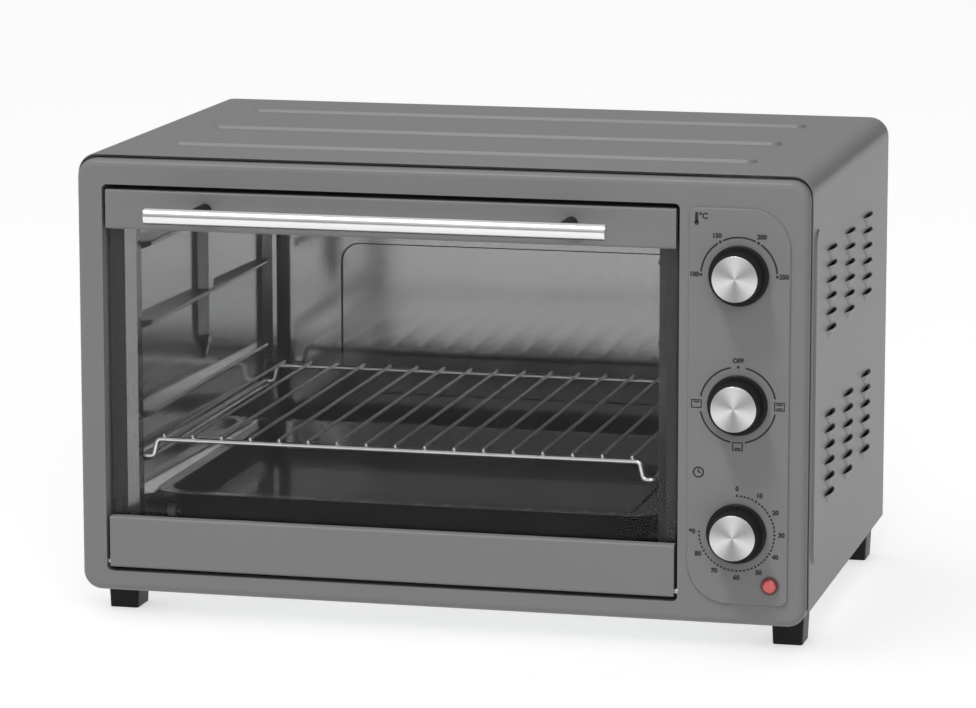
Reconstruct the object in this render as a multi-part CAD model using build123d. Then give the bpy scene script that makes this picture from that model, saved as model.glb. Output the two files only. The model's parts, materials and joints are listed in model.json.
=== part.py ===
from build123d import *
import os
from math import tan, radians

# Millimetres. X runs right, Y runs back and Z runs up; the oven stands on Z = 0.

# Front bezel: one pressed sheet with a door opening and a raised control pad
bezel_width = 550.0
bezel_height = 326.5
bezel_corner = 14.0
bezel_edge = 5.5
bezel_depth = 15.2
bezel_sheet = 1.2
bezel_lift = 22.0
opening_width = 436.0
opening_height = 292.8
opening_x = -37.4
opening_rise = 15.2
opening_corner = 4.0
pad_width = 74.5
pad_height = 290.3
pad_x = 224.75
pad_rise = 15.8
pad_relief = 1.6
pad_edge = 1.4
pad_round = 30.0
pad_corner = 5.5

# Outer shell: top and both sides in one wrapped sheet
shell_sheet = 0.8
shell_side_gap = 0.44
shell_top_gap = 2.34
shell_corner = 15.0
shell_set_back = 9.0
shell_depth = 351.0
shell_flange = 14.0
shell_edge = 0.5
hem_set_back = 4.0
bead_length = 447.0
bead_width = 13.0
bead_relief = 2.2
bead_slope = 40.0
bead_places = (74.0, 177.0, 285.0)
side_bead_width = 22.0
side_bead_height = 247.0
side_bead_relief = 1.5
side_bead_place = 28.0
side_bead_rise = 165.5
louvre_length = 46.0
louvre_foot = 14.0
louvre_height = 9.0
louvre_relief = 3.6
louvre_wall = 0.6
louvre_pitch = 11.9
louvre_rows = 6
louvre_columns = (91.0, 175.0, 258.5)
louvre_tops = (266.6, 143.1)

# Base plate, back cover and feet
base_rise = 9.2
base_sheet = 1.0
base_flange = 10.0
base_slot_length = 90.0
base_slot_width = 5.0
base_slot_pitch = 26.0
base_slot_count = 9
cover_sheet = 0.8
cover_margin = 3.2
cover_corner = 12.0
bulge_width = 424.0
bulge_height = 290.0
bulge_depth = 39.2
bulge_corner = 16.0
bulge_slope = 8.0
bulge_edge = 7.0
vent_length = 46.0
vent_width = 4.0
vent_pitch = 12.0
vent_rows = 3
vent_x = 225.0
vent_rises = (258.0, 130.0)
foot_width = 22.0
foot_length = 27.0
foot_slope = 3.0
foot_edge = 2.0
foot_x = 255.5
foot_front_place = 53.0
foot_back_margin = 13.5

# Oven cavity: five lining sheets behind a front frame
frame_sheet = 0.8
frame_margin = 6.0
lining_sheet = 0.8
cavity_width = 412.5
cavity_height = 270.0
cavity_depth = 372.0
cavity_rise = 24.0
cavity_draft = 8.0
cavity_corner = 5.0
emboss_width = 285.0
emboss_height = 125.0
emboss_rise = 61.0
emboss_corner = 16.0
emboss_relief = 2.0
emboss_slope = 30.0
rib_width = 24.0
rib_crest = 12.0
rib_relief = 7.0
rib_places = (12.5, 346.0)
middle_rib_place = 182.0
middle_rib_drop = 150.0
rib_toe = 20.0
rib_toe_scale = 0.25
rail_span = 387.3
rail_height = 8.5
rail_nose = 2.0
rail_lead = 13.0
rail_start = 14.0
rail_stop = 347.0
tray_rail_rise = 43.5
rack_rail_rise = 73.75
spare_rail_rises = (107.0, 176.0, 236.0)
shield_sheet = 0.8
shield_x = 188.0
shield_foot = 10.0
shield_headroom = 6.0

# Heating tubes and their ceramic bushes
heater_diameter = 6.5
heater_tail = 11.0
heater_wall_gap = 14.0
heater_places = (104.0, 254.0)
bush_diameter = 9.8
bush_flange = 15.0
bush_flange_thick = 2.5
bush_bite = 3.0
bush_play = 0.1

# Door
door_side_gap = 2.7
door_bottom_gap = 3.0
door_top_gap = 3.8
door_sheet = 1.0
top_rail_height = 29.5
bottom_rail_height = 38.8
rail_depth = 8.0
rail_edge = 2.0
glass_thick = 4.0
glass_side_inset = 0.5
glass_top_inset = 1.5
glass_lift = 12.5
glass_corner = 3.0
clamp_sheet = 0.8
clamp_height = 16.0
clamp_side_inset = 20.0
handle_length = 344.0
handle_diameter = 12.0
handle_wall = 1.0
handle_standoff = 38.0
handle_drop = 13.2
post_diameter = 10.0
post_overhang = 33.9
post_bite = 1.2
handle_screw_reach = 14.0

# Door hinge
hinge_set_back = 5.0
hinge_rise = 6.8
hinge_pin_diameter = 5.0
hinge_pin_length = 13.0
hinge_play = 0.05
hinge_hole_play = 0.3
hinge_plate_thick = 3.0
hinge_plate_height = 24.0
bracket_thick = 5.2
bracket_height = 48.5
bracket_back = 13.4
bracket_clear = 0.3

# Knobs and the controls behind them
knob_x = 224.5
knob_rises = {"temperature": 257.5, "function": 163.1, "timer": 68.7}
skirt_diameter = 44.0
skirt_thick = 2.6
knob_diameter = 39.0
knob_slope = 8.0
knob_reach = 17.0
knob_gap = 1.0
knob_edge = 1.0
knob_face_diameter = 33.4
knob_face_thick = 1.0
knob_face_proud = 0.3
pointer_width = 2.2
pointer_height = 1.2
knob_well_diameter = 21.0
knob_well_depth = 4.2
shaft_diameter = 6.0
shaft_play = 0.05
shaft_grip = 9.0
shaft_tail = 10.0
collar_diameter = 9.0
collar_reach = 4.4
collar_play = 0.2
nut_flats = 14.0
nut_thick = 2.2
control_body = {
    "temperature": (38.0, 30.0, 26.0),
    "function": (34.0, 34.0, 30.0),
    "timer": (46.0, 46.0, 34.0),
}
control_edge = 2.0
tab_width = 6.3
tab_thick = 0.8
tab_length = 8.0
lamp_x = 249.2
lamp_rise = 31.1
lamp_diameter = 11.0
lamp_ring = 13.4
lamp_ring_thick = 1.0
lamp_dome = 2.4
lamp_neck = 8.0
lamp_neck_length = 7.0
holder_diameter = 12.0
holder_length = 24.0

# Wire rack
rack_wire = 4.0
rack_span = 391.2
rack_depth = 321.0
rack_front_gap = 8.0
rack_foot = 8.0
rack_slant = 3.0
rack_step = 13.0
rack_bend = 3.4
cross_wire = 2.6
cross_pitch = 22.4
cross_count = 17
cross_end = 1.1
weld_gap = 0.02
seat_gap = 0.3

# Baking tray
tray_rim_width = 394.0
tray_width = 376.0
tray_length = 304.0
tray_rim = 7.0
tray_depth = 22.0
tray_sheet = 0.8
tray_corner = 22.0
tray_slope = 18.0
tray_front_gap = 26.0
tray_floor_relief = 1.6
tray_floor_margin = 26.0

# How far a cut runs past the faces it opens
over_cut = 1.0

# Fasteners and electrical fittings
screw_head = 7.0
screw_head_thick = 2.2
screw_shank = 3.5
screw_reach = 8.0
screw_play = 0.1
cover_screw_rises = (70.0, 165.0, 260.0)
cover_top_screw_x = 150.0
cover_bottom_screw_xs = (205.0, 250.0)
foot_screw_head = 8.0
foot_screw_reach = 12.0
gland_flange = 18.0
gland_flange_thick = 3.0
gland_body = 13.0
gland_bore = 7.0
gland_length = 18.0
gland_x = 225.0
gland_rise = 48.0
terminal_width = 36.0
terminal_length = 20.0
terminal_height = 18.0
terminal_place = 300.0
terminal_bore = 5.0

# Places worked out from the sizes above
handle_reach = handle_standoff + handle_diameter / 2
back_reach = shell_set_back + shell_depth + cover_sheet + bulge_depth
front_y = (handle_reach - back_reach) / 2
bezel_mid_z = bezel_lift + bezel_height / 2
bezel_back_y = front_y + bezel_depth
opening_z = bezel_lift + opening_rise
opening_mid_z = opening_z + opening_height / 2
pad_y = front_y - pad_relief
shell_half = bezel_width / 2 + shell_side_gap + shell_sheet
shell_top_z = bezel_lift + bezel_height + shell_top_gap + shell_sheet
shell_front_y = front_y + shell_set_back
shell_back_y = shell_front_y + shell_depth
base_z = bezel_lift + base_rise
base_top_z = base_z + base_sheet
cover_back_y = shell_back_y + cover_sheet
flange_x = shell_half - shell_flange / 2
flange_z = shell_top_z - shell_flange / 2
cavity_y = bezel_back_y + frame_sheet
cavity_back_y = cavity_y + cavity_depth
cavity_z = bezel_lift + cavity_rise
cavity_top_z = cavity_z + cavity_height
cavity_mid_z = cavity_z + cavity_height / 2
wall_x = opening_x - cavity_width / 2
rail_x = opening_x - rail_span / 2
door_width = opening_width - 2 * door_side_gap
door_z = opening_z + door_bottom_gap
door_top_z = opening_z + opening_height - door_top_gap
door_end_x = opening_x + door_width / 2
glass_y = front_y + rail_depth
glass_back_y = glass_y + glass_thick
hinge_y = front_y + hinge_set_back
hinge_z = opening_z + hinge_rise
handle_y = front_y - handle_standoff
handle_z = door_top_z - handle_drop
knob_back_y = pad_y - knob_gap
rack_rail_z = cavity_z + rack_rail_rise
tray_rail_z = cavity_z + tray_rail_rise


def facing(x, y, z):
    """Place a solid built along +Z so that it points to the front at (x, y, z)."""
    return Pos(x, y, z) * Rot(90, 0, 0)


def slab(sketch, y0, y1):
    """Extrude a sketch drawn in X and Z between two depths."""
    return Pos(0, y1, 0) * Rot(90, 0, 0) * extrude(sketch, y1 - y0, dir=(0, 0, 1))


def rod(diameter, x, z, y0, y1):
    """A round bar along Y."""
    return slab(Pos(x, z) * Circle(diameter / 2), y0, y1)


def cross_bar(diameter, x0, x1, y, z):
    """A round bar along X."""
    return extrude(Plane.YZ.offset(x0) * Pos(y, z) * Circle(diameter / 2), x1 - x0)


def block(x0, x1, y0, y1, z0, z1):
    """A box between two corners."""
    return Pos((x0 + x1) / 2, (y0 + y1) / 2, (z0 + z1) / 2) * Box(x1 - x0, y1 - y0, z1 - z0)


def across(solid):
    """The same piece on the other side of the oven cavity."""
    return mirror(solid, about=Plane.YZ.offset(opening_x))


def control_pad(inset):
    """Outline of the control pad: two large and two small corners."""
    pad = Rectangle(pad_width - 2 * inset, pad_height - 2 * inset)
    left = pad.vertices().group_by(Axis.X)[0].sort_by(Axis.Y)
    right = pad.vertices().group_by(Axis.X)[-1].sort_by(Axis.Y)
    pad = fillet([left[0], right[1]], pad_round - inset)
    left = pad.vertices().group_by(Axis.X)[0].sort_by(Axis.Y)
    right = pad.vertices().group_by(Axis.X)[-1].sort_by(Axis.Y)
    pad = fillet([left[-1], right[0]], pad_corner - inset)
    return Pos(pad_x, bezel_lift + pad_rise + pad_height / 2) * pad


def bezel_outline(grow):
    outline = RectangleRounded(bezel_width + 2 * grow, bezel_height + 2 * grow, bezel_corner + grow)
    return Pos(0, bezel_mid_z) * outline


def door_opening(grow):
    size = RectangleRounded(opening_width + 2 * grow, opening_height + 2 * grow, opening_corner + grow)
    return Pos(opening_x, opening_mid_z) * size


def front_bezel():
    pan = slab(bezel_outline(0), front_y, bezel_back_y)
    pan = fillet(pan.faces().sort_by(Axis.Y)[0].edges(), bezel_edge)
    pan = offset(pan, amount=-bezel_sheet, openings=pan.faces().sort_by(Axis.Y)[-1])
    pan += slab(door_opening(bezel_sheet), front_y, bezel_back_y)
    pan -= slab(door_opening(0), front_y - bezel_sheet, bezel_back_y + bezel_sheet)
    pad = slab(control_pad(0), pad_y, front_y + bezel_sheet)
    pan += fillet(pad.faces().sort_by(Axis.Y)[0].edges(), pad_edge)
    pan -= slab(control_pad(bezel_sheet), pad_y + bezel_sheet, front_y + 2 * bezel_sheet)
    for rise in knob_rises.values():
        hole = collar_diameter + 2 * collar_play
        pan -= rod(hole, knob_x, bezel_lift + rise, pad_y - over_cut, bezel_back_y)
    hole = lamp_neck + 2 * collar_play
    pan -= rod(hole, lamp_x, bezel_lift + lamp_rise, pad_y - over_cut, bezel_back_y)
    hole = hinge_pin_diameter + 2 * hinge_hole_play
    pan -= cross_bar(hole, door_end_x, door_end_x + door_side_gap + 2 * bezel_sheet, hinge_y, hinge_z)
    far = opening_x - door_width / 2
    pan -= cross_bar(hole, far - door_side_gap - 2 * bezel_sheet, far, hinge_y, hinge_z)
    return pan


def shell_section(inset):
    """Cross-section of the cabinet, with round upper corners, drawn in X and Z."""
    low = base_top_z + inset
    high = shell_top_z - inset
    section = Pos(0, (low + high) / 2) * Rectangle(2 * (shell_half - inset), high - low)
    return fillet(section.vertices().group_by(Axis.Y)[-1], shell_corner - inset)


def shell_bead(length, width, relief):
    """A round-ended ridge along X that stands on Z = 0."""
    narrowing = tan(radians(bead_slope)) * relief
    top = Pos(0, 0, relief) * SlotOverall(length - 2 * narrowing, width - 2 * narrowing)
    return loft([SlotOverall(length, width).face(), top.face()])


def louvre_places():
    for column in louvre_columns:
        for top in louvre_tops:
            for row in range(louvre_rows):
                yield front_y + column, bezel_lift + top - row * louvre_pitch


def louvre_plan(length, bulge, z, back):
    """Plan of a louvre at a height: an arc outside the skin's inner face, closed behind it."""
    half = length / 2
    arc = ThreePointArc((0, -half), (bulge, 0), (0, half))
    sides = Polyline((0, half), (-back, half), (-back, -half), (0, -half))
    return (Pos(0, 0, z) * make_face([arc, sides])).face()


def louvre_hood():
    """A hood on the right side, open at the top, that runs out to the skin below."""
    top = louvre_plan(louvre_length, shell_sheet + louvre_relief, 0, shell_sheet / 2)
    low = louvre_plan(louvre_foot, shell_sheet, -louvre_height, shell_sheet / 2)
    inner = block(-shell_sheet, 0, -louvre_length, louvre_length, -2 * louvre_height, louvre_height)
    return loft([low, top]) - inner


def louvre_space():
    """The way for air through a louvre: down behind the hood and through the skin."""
    bulge = shell_sheet + louvre_relief - louvre_wall
    top = louvre_plan(louvre_length - 2 * louvre_relief, bulge, 0, over_cut)
    low = louvre_plan(louvre_foot - louvre_relief, louvre_wall / 2, louvre_wall - louvre_height, over_cut)
    return loft([low, top])


def shell_hem():
    """The lip folded in behind the front edge, which closes the gap round the bezel."""
    ring = shell_section(shell_sheet / 2) - bezel_outline(shell_side_gap)
    below = Pos(0, base_top_z) * Rectangle(2 * shell_half, 2 * shell_flange)
    hem_y = shell_front_y + hem_set_back
    return slab(ring - below, hem_y, hem_y + shell_sheet)


def outer_shell():
    skin = slab(shell_section(0) - shell_section(shell_sheet), shell_front_y, shell_back_y)
    skin = fillet(skin.faces().sort_by(Axis.Y)[0].outer_wire().edges(), shell_edge)
    reach = 2 * (shell_half - shell_flange)
    gap = Pos(0, base_top_z) * Rectangle(reach, 2 * base_flange)
    skin -= slab(gap, shell_front_y - over_cut, shell_back_y + over_cut)
    notch = Pos(0, base_top_z) * Rectangle(2 * (shell_half - shell_sheet), 4 * shell_sheet)
    skin -= slab(notch, shell_front_y - over_cut, cavity_y)
    window = Rectangle(reach, 2 * (flange_z - shell_flange / 2 - base_top_z))
    rim = shell_section(0) - Pos(0, base_top_z) * window
    skin += slab(rim, shell_back_y - shell_sheet, shell_back_y)
    skin += shell_hem()
    beads = []
    for place in bead_places:
        on_top = Pos(0, front_y + place, shell_top_z)
        beads.append((on_top, shell_bead(bead_length, bead_width, bead_relief)))
    for side in (-1, 1):
        middle = Pos(side * shell_half, front_y + side_bead_place, bezel_lift + side_bead_rise)
        on_side = middle * Rot(0, side * 90, 0)
        beads.append((on_side, shell_bead(side_bead_height, side_bead_width, side_bead_relief)))
    skin += [place * bead for place, bead in beads]
    skin -= [place * Pos(0, 0, -shell_sheet) * bead for place, bead in beads]
    places = [Pos(shell_half - shell_sheet, y, z) for y, z in louvre_places()]
    hoods = [place * louvre_hood() for place in places]
    spaces = [place * louvre_space() for place in places]
    skin += hoods + [mirror(hood, about=Plane.YZ) for hood in hoods]
    skin -= spaces + [mirror(space, about=Plane.YZ) for space in spaces]
    for x, z in cover_screw_places():
        hole = screw_shank + 2 * screw_play
        skin -= rod(hole, x, z, shell_back_y - 2 * shell_sheet, shell_back_y + over_cut)
    return skin


def cover_screw_places():
    sides = [(x, bezel_lift + rise) for x in (-flange_x, flange_x) for rise in cover_screw_rises]
    top = [(x, flange_z) for x in (-cover_top_screw_x, cover_top_screw_x)]
    low = [(x, base_top_z + base_flange / 2) for x in cover_bottom_screw_xs]
    return sides + top + low


def back_cover():
    low = base_z
    high = shell_top_z - cover_margin
    plate = RectangleRounded(2 * (shell_half - cover_margin), high - low, cover_corner)
    cover = slab(Pos(0, (low + high) / 2) * plate, shell_back_y, cover_back_y)
    cover += bulge_solid(0)
    cover -= bulge_solid(cover_sheet)
    vent = SlotOverall(vent_length, vent_width)
    for rise in vent_rises:
        for row in range(vent_rows):
            place = Pos(vent_x, bezel_lift + rise + row * vent_pitch)
            cover -= slab(place * vent, shell_back_y - over_cut, cover_back_y + over_cut)
    holes = [(screw_shank, x, z) for x, z in cover_screw_places()]
    holes.append((gland_body, gland_x, bezel_lift + gland_rise))
    for size, x, z in holes:
        cover -= rod(size + 2 * screw_play, x, z, shell_back_y - over_cut, cover_back_y + over_cut)
    return cover


def bulge_solid(inset):
    """The pressed box that gives the cavity its depth, or the hollow inside it."""
    base = RectangleRounded(bulge_width - 2 * inset, bulge_height - 2 * inset, bulge_corner - inset)
    height = cover_sheet + bulge_depth - inset
    box = extrude(base, height, taper=bulge_slope)
    box = fillet(box.faces().sort_by(Axis.Z)[-1].edges(), bulge_edge - inset)
    return Pos(opening_x, shell_back_y, cavity_mid_z) * Rot(-90, 0, 0) * box


def base_plate():
    half = shell_half - shell_sheet - shell_side_gap
    plate = block(-half, half, cavity_y, shell_back_y, base_z, base_top_z)
    inner = shell_half - shell_flange - 2 * shell_sheet
    high = base_top_z + base_flange
    plate += block(-inner, inner, cavity_y, cavity_y + base_sheet, base_top_z, high)
    clear = opening_x + bulge_width / 2
    plate += block(clear, inner, shell_back_y - base_sheet, shell_back_y, base_top_z, high)
    slot = SlotOverall(base_slot_length, base_slot_width, rotation=90)
    cut = extrude(slot, base_sheet + 2 * over_cut)
    for index in range(base_slot_count):
        x = opening_x + (index - (base_slot_count - 1) / 2) * base_slot_pitch
        plate -= Pos(x, cavity_y + cavity_depth / 2, base_z - over_cut) * cut
    for x, y in foot_places().values():
        plate -= Pos(x, y, base_z) * Cylinder(screw_shank / 2 + screw_play, 4 * base_sheet)
    for x in cover_bottom_screw_xs:
        z = base_top_z + base_flange / 2
        hole = screw_shank + 2 * screw_play
        plate -= rod(hole, x, z, shell_back_y - 2 * base_sheet, shell_back_y + over_cut)
    return plate


def foot_places():
    front = front_y + foot_front_place
    back = shell_back_y - foot_back_margin
    return {
        "foot_front_left": (-foot_x, front),
        "foot_front_right": (foot_x, front),
        "foot_back_left": (-foot_x, back),
        "foot_back_right": (foot_x, back),
    }


def foot(x, y):
    sole = RectangleRounded(foot_width, foot_length, foot_edge)
    body = extrude(sole, base_z, taper=-foot_slope)
    body -= Pos(0, 0, base_z) * Cylinder(screw_shank / 2 + screw_play, 2 * (foot_screw_reach + over_cut))
    return Pos(x, y, 0) * body


def foot_screws():
    screws = []
    for x, y in foot_places().values():
        head = Pos(0, 0, screw_head_thick / 2) * Cylinder(foot_screw_head / 2, screw_head_thick)
        head = fillet(head.edges().sort_by(Axis.Z)[-1], screw_head_thick / 2)
        shank = Pos(0, 0, -foot_screw_reach / 2) * Cylinder(screw_shank / 2, foot_screw_reach)
        screws.append(Pos(x, y, base_top_z) * (head + shank))
    return Compound(screws)


def cover_screws():
    head = Pos(0, 0, screw_head_thick / 2) * Cylinder(screw_head / 2, screw_head_thick)
    head = fillet(head.edges().sort_by(Axis.Z)[-1], screw_head_thick / 2)
    screw = head + Pos(0, 0, -screw_reach / 2) * Cylinder(screw_shank / 2, screw_reach)
    return Compound([Pos(x, cover_back_y, z) * Rot(-90, 0, 0) * screw for x, z in cover_screw_places()])


def cavity_frame():
    plate = slab(door_opening(frame_margin), bezel_back_y, cavity_y)
    mouth = Pos(opening_x, cavity_mid_z) * RectangleRounded(cavity_width, cavity_height, cavity_corner)
    return plate - slab(mouth, bezel_back_y - over_cut, cavity_y + over_cut)


def wall_at(place):
    """X of the left wall's inner face at a depth behind the cavity's mouth."""
    return wall_x + cavity_draft * place / cavity_depth


def lining_plan(grow):
    """Plan of the cavity, narrower at the back, drawn in X and Y."""
    half_front = cavity_width / 2 + grow
    half_back = half_front - cavity_draft
    return Polygon(
        (opening_x - half_front, cavity_y),
        (opening_x + half_front, cavity_y),
        (opening_x + half_back, cavity_back_y),
        (opening_x - half_back, cavity_back_y),
        align=None,
    )


def rib_plan(place, inset, scale):
    """Plan of a vertical pressed rib on the left wall, or of the hollow behind it."""
    base = scale * rib_width / 2 - inset
    crest = scale * rib_crest / 2 - inset / 2
    back = wall_at(place) - lining_sheet - (over_cut if inset else 0)
    y = cavity_y + place
    top = wall_at(place) + scale * rib_relief - inset
    return Polygon((back, y - base), (top, y - crest), (top, y + crest), (back, y + base), align=None)


def tall_rib(place, inset):
    """A rib over the wall's whole height."""
    return Pos(0, 0, cavity_z) * extrude(rib_plan(place, inset, 1), cavity_height)


def short_rib(place, inset):
    """A rib from the top of the wall that runs out to a toe at its lower end."""
    low = cavity_top_z - middle_rib_drop
    whole = rib_plan(place, inset, 1)
    toe = Pos(0, 0, low + inset) * rib_plan(place, inset, rib_toe_scale)
    end = Pos(0, 0, low + rib_toe) * whole
    upper = Pos(0, 0, low + rib_toe) * extrude(whole, middle_rib_drop - rib_toe)
    return loft([toe.face(), end.face()]) + upper


def rail_section(top, inset):
    """Section of a shelf rail on the left wall, or of the hollow behind it, in X and Z."""
    back = wall_x - lining_sheet - (over_cut if inset else 0)
    round_x = rail_x - rail_nose
    round_z = top - rail_nose
    web = Polygon(
        (back, top - inset),
        (round_x, top - inset),
        (round_x, round_z - rail_nose + inset),
        (back, top - rail_height + inset),
        align=None,
    )
    return web + Pos(round_x, round_z) * Circle(rail_nose - inset)


def shelf_rail(top, inset):
    """A rail that slopes out from the wall at both ends."""
    start = cavity_y + rail_start + inset
    stop = cavity_y + rail_stop - inset
    back = wall_x - lining_sheet - over_cut
    plan = Polygon(
        (back, start),
        (wall_x, start),
        (rail_x, start + rail_lead),
        (rail_x, stop - rail_lead),
        (wall_x, stop),
        (back, stop),
        align=None,
    )
    ends = Pos(0, 0, top - 2 * rail_height) * extrude(plan, 3 * rail_height)
    return slab(rail_section(top, inset), start, stop) & ends


def cavity_left_wall():
    sheet = lining_plan(lining_sheet) - lining_plan(0)
    both = Pos(0, 0, cavity_z) * extrude(sheet, cavity_height)
    wall = both.solids().sort_by(Axis.X)[0]
    room = Pos(0, 0, cavity_z) * extrude(lining_plan(lining_sheet), cavity_height)
    tops = [cavity_z + rise for rise in (tray_rail_rise, rack_rail_rise) + spare_rail_rises]
    pressed = []
    hollows = []
    for inset, group in ((0, pressed), (lining_sheet, hollows)):
        group += [tall_rib(place, inset) for place in rib_places]
        group.append(short_rib(middle_rib_place, inset))
        group += [shelf_rail(top, inset) for top in tops]
    wall += [piece & room for piece in pressed]
    wall -= hollows
    for x, y, z in heater_places_left():
        wall -= cross_bar(bush_diameter + 2 * bush_play, x - rib_width, x + rib_width, y, z)
    return wall


def heater_places_left():
    """Where the heating tubes pass the left wall, lower pair first."""
    rises = (cavity_z + heater_wall_gap, cavity_top_z - heater_wall_gap)
    return [(wall_at(place), cavity_y + place, z) for z in rises for place in heater_places]


def cavity_back_wall():
    half = cavity_width / 2 - cavity_draft + lining_sheet
    low = cavity_z - lining_sheet
    high = cavity_top_z + lining_sheet
    wall = block(opening_x - half, opening_x + half, cavity_back_y, cavity_back_y + lining_sheet, low, high)
    emboss = RectangleRounded(emboss_width, emboss_height, emboss_corner)
    press = extrude(emboss, emboss_relief, taper=emboss_slope)
    middle = cavity_z + emboss_rise + emboss_height / 2
    wall += Pos(opening_x, cavity_back_y + lining_sheet, middle) * Rot(-90, 0, 0) * press
    wall -= Pos(opening_x, cavity_back_y, middle) * Rot(-90, 0, 0) * press
    return wall


def cavity_ceiling():
    return Pos(0, 0, cavity_top_z) * extrude(lining_plan(lining_sheet), lining_sheet)


def cavity_floor():
    return Pos(0, 0, cavity_z - lining_sheet) * extrude(lining_plan(lining_sheet), lining_sheet)


def control_heat_shield():
    top = shell_top_z - shell_sheet - shield_headroom
    back = shell_back_y - base_sheet - shield_headroom
    front = cavity_y + base_sheet
    upright = block(shield_x, shield_x + shield_sheet, front, back, base_top_z, top)
    foot_top = base_top_z + shield_sheet
    return upright + block(shield_x, shield_x + shield_foot, front, back, base_top_z, foot_top)


def heater(index):
    x, y, z = heater_places_left()[index]
    left = x - heater_tail
    return cross_bar(heater_diameter, left, 2 * opening_x - left, y, z)


def heater_insulators():
    bushes = []
    for x, y, z in heater_places_left():
        outer = x - lining_sheet - seat_gap
        bush = cross_bar(bush_diameter, outer, x + bush_bite, y, z)
        bush += cross_bar(bush_flange, outer - bush_flange_thick, outer, y, z)
        bore = heater_diameter + 2 * bush_play
        bush -= cross_bar(bore, outer - 2 * bush_flange_thick, x + 2 * bush_bite, y, z)
        bushes += [bush, across(bush)]
    return Compound(bushes)


def control_unit(name):
    """Thermostat, switch or timer: a body behind the pad, a threaded collar and contact tabs."""
    width, height, depth = control_body[name]
    z = bezel_lift + knob_rises[name]
    y = pad_y + bezel_sheet
    body = slab(Pos(knob_x, z) * RectangleRounded(width, height, control_edge), y, y + depth)
    body += rod(collar_diameter, knob_x, z, pad_y - collar_reach, y)
    for step in (-1, 0, 1):
        x = knob_x + step * width / 3
        back = y + depth
        body += block(x - tab_thick / 2, x + tab_thick / 2, back, back + tab_length, z, z + tab_width)
    bore = shaft_diameter + 2 * shaft_play
    return body - rod(bore, knob_x, z, pad_y - 2 * collar_reach, y + shaft_tail + over_cut)


def control_nuts():
    bore = Circle(collar_diameter / 2 + screw_play)
    outline = RegularPolygon(nut_flats / 2, 6, major_radius=False) - bore
    heights = [bezel_lift + rise for rise in knob_rises.values()]
    return Compound([slab(Pos(knob_x, z) * outline, pad_y - nut_thick, pad_y) for z in heights])


def knob_body():
    """Skirt, tapered grip with its pointer ridge, and the well that clears the nut; axis on Z."""
    skirt = extrude(Circle(skirt_diameter / 2), skirt_thick)
    skirt = fillet(skirt.edges().sort_by(Axis.Z)[-1], knob_edge)
    grip = extrude(Circle(knob_diameter / 2), knob_reach, taper=knob_slope)
    grip = fillet(grip.edges().sort_by(Axis.Z)[-1], knob_edge)
    ridge_height = skirt_thick + pointer_height
    length = (skirt_diameter - knob_diameter) / 2 + knob_edge
    ridge = Pos(0, skirt_diameter / 2 - knob_edge - length / 2, ridge_height / 2)
    knob = skirt + grip + ridge * Box(pointer_width, length, ridge_height)
    knob -= extrude(Circle(knob_well_diameter / 2), knob_well_depth)
    knob -= extrude(Circle(shaft_diameter / 2 + weld_gap), knob_well_depth + shaft_grip)
    seat = Circle(knob_face_diameter / 2 + weld_gap)
    return knob - Pos(0, 0, knob_reach - knob_face_thick + knob_face_proud) * extrude(seat, knob_face_thick)


def knob_face():
    disc = extrude(Circle(knob_face_diameter / 2), knob_face_thick)
    disc = fillet(disc.edges().sort_by(Axis.Z)[-1], knob_face_proud)
    return Pos(0, 0, knob_reach - knob_face_thick + knob_face_proud) * disc


def knob_shaft(name):
    z = bezel_lift + knob_rises[name]
    front = knob_back_y - knob_well_depth - shaft_grip
    return rod(shaft_diameter, knob_x, z, front, pad_y + bezel_sheet + shaft_tail)


def indicator_lens():
    ring = extrude(Circle(lamp_ring / 2), lamp_ring_thick)
    dome = extrude(Circle(lamp_diameter / 2), lamp_ring_thick + lamp_dome)
    dome = fillet(dome.edges().sort_by(Axis.Z)[-1], lamp_dome)
    neck = Pos(0, 0, -lamp_neck_length) * extrude(Circle(lamp_neck / 2), lamp_neck_length)
    return facing(lamp_x, pad_y, bezel_lift + lamp_rise) * (ring + dome + neck)


def indicator_holder():
    y = pad_y + bezel_sheet
    z = bezel_lift + lamp_rise
    body = rod(holder_diameter, lamp_x, z, y, y + holder_length)
    return body - rod(lamp_neck + 2 * screw_play, lamp_x, z, y - over_cut, y + lamp_neck_length)


def door_rail(low, high):
    """A folded channel, open to the back, with rounded front edges."""
    left = opening_x - door_width / 2
    bar = block(left, door_end_x, front_y, glass_y, low, high)
    front = bar.faces().sort_by(Axis.Y)[0].edges().filter_by(Axis.X)
    bar = fillet(front, rail_edge)
    t = door_sheet
    return bar - block(left + t, door_end_x - t, front_y + t, glass_y + over_cut, low + t, high - t)


def door_top_rail():
    rail = door_rail(door_top_z - top_rail_height, door_top_z)
    for x in post_places():
        rail -= rod(screw_shank + 2 * screw_play, x, handle_z, front_y - over_cut, front_y + 2 * door_sheet)
    return rail


def door_bottom_rail():
    rail = door_rail(door_z, door_z + bottom_rail_height)
    hole = hinge_pin_diameter + 2 * hinge_hole_play
    return rail - cross_bar(hole, opening_x - door_width, opening_x + door_width, hinge_y, hinge_z)


def door_glass():
    low = door_z + glass_lift
    high = door_top_z - glass_top_inset
    pane = RectangleRounded(door_width - 2 * glass_side_inset, high - low, glass_corner)
    return slab(Pos(opening_x, (low + high) / 2) * pane, glass_y, glass_back_y)


def glass_clamp(middle):
    half = door_width / 2 - clamp_side_inset
    strip = Pos(opening_x, middle) * RectangleRounded(2 * half, clamp_height, clamp_height / 4)
    return slab(strip, glass_back_y, glass_back_y + clamp_sheet)


def post_places():
    reach = handle_length / 2 - post_overhang
    return [opening_x - reach, opening_x + reach]


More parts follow.
